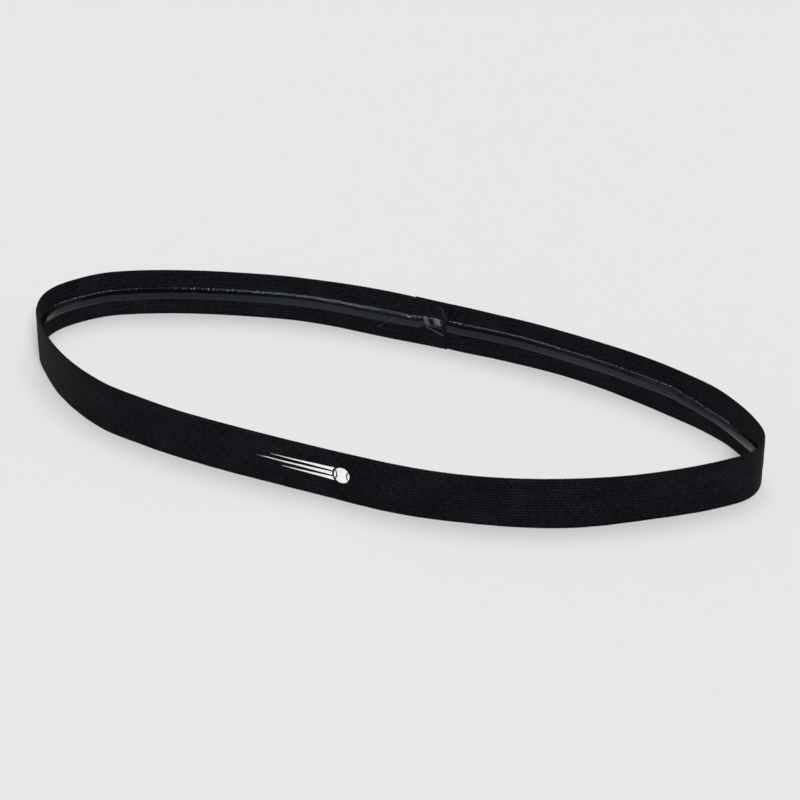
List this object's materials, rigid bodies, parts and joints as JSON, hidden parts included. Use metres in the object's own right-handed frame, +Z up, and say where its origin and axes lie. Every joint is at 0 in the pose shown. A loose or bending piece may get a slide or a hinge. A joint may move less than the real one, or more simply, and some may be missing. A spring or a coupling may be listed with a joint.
{
  "type": "sports headband",
  "caption": "Thin elastic sports headband: a woven loop lapped and sewn at the back, with a silicone grip bead inside and a small printed mark on the front.",
  "frame": {"origin": "centre of the bounding box in plan, on the lower edge that the loop stands on", "axes": "+Z up along the strip's width, +X along the loop's longest side, front with the printed mark at -Y, sewn lap at +Y"},
  "size_m": [0.191, 0.0826, 0.0127],
  "materials": {
    "webbing": "matte woven",
    "silicone": "glossy, wet look",
    "rubber_thread": "matte",
    "sewing_thread": "spun thread, slight sheen",
    "print_ink": "matte heat-transfer film"
  },
  "bodies": {
    "root": {"webbing": "webbing", "silicone_grip": "silicone", "rubber_thread_01": "rubber_thread", "rubber_thread_02": "rubber_thread", "rubber_thread_03": "rubber_thread", "rubber_thread_04": "rubber_thread", "rubber_thread_05": "rubber_thread", "rubber_thread_06": "rubber_thread", "rubber_thread_07": "rubber_thread", "rubber_thread_08": "rubber_thread", "rubber_thread_09": "rubber_thread", "rubber_thread_10": "rubber_thread", "rubber_thread_11": "rubber_thread", "rubber_thread_12": "rubber_thread", "seam_needle_thread": "sewing_thread", "seam_bobbin_thread": "sewing_thread", "printed_mark": "print_ink"}
  },
  "joints": []
}
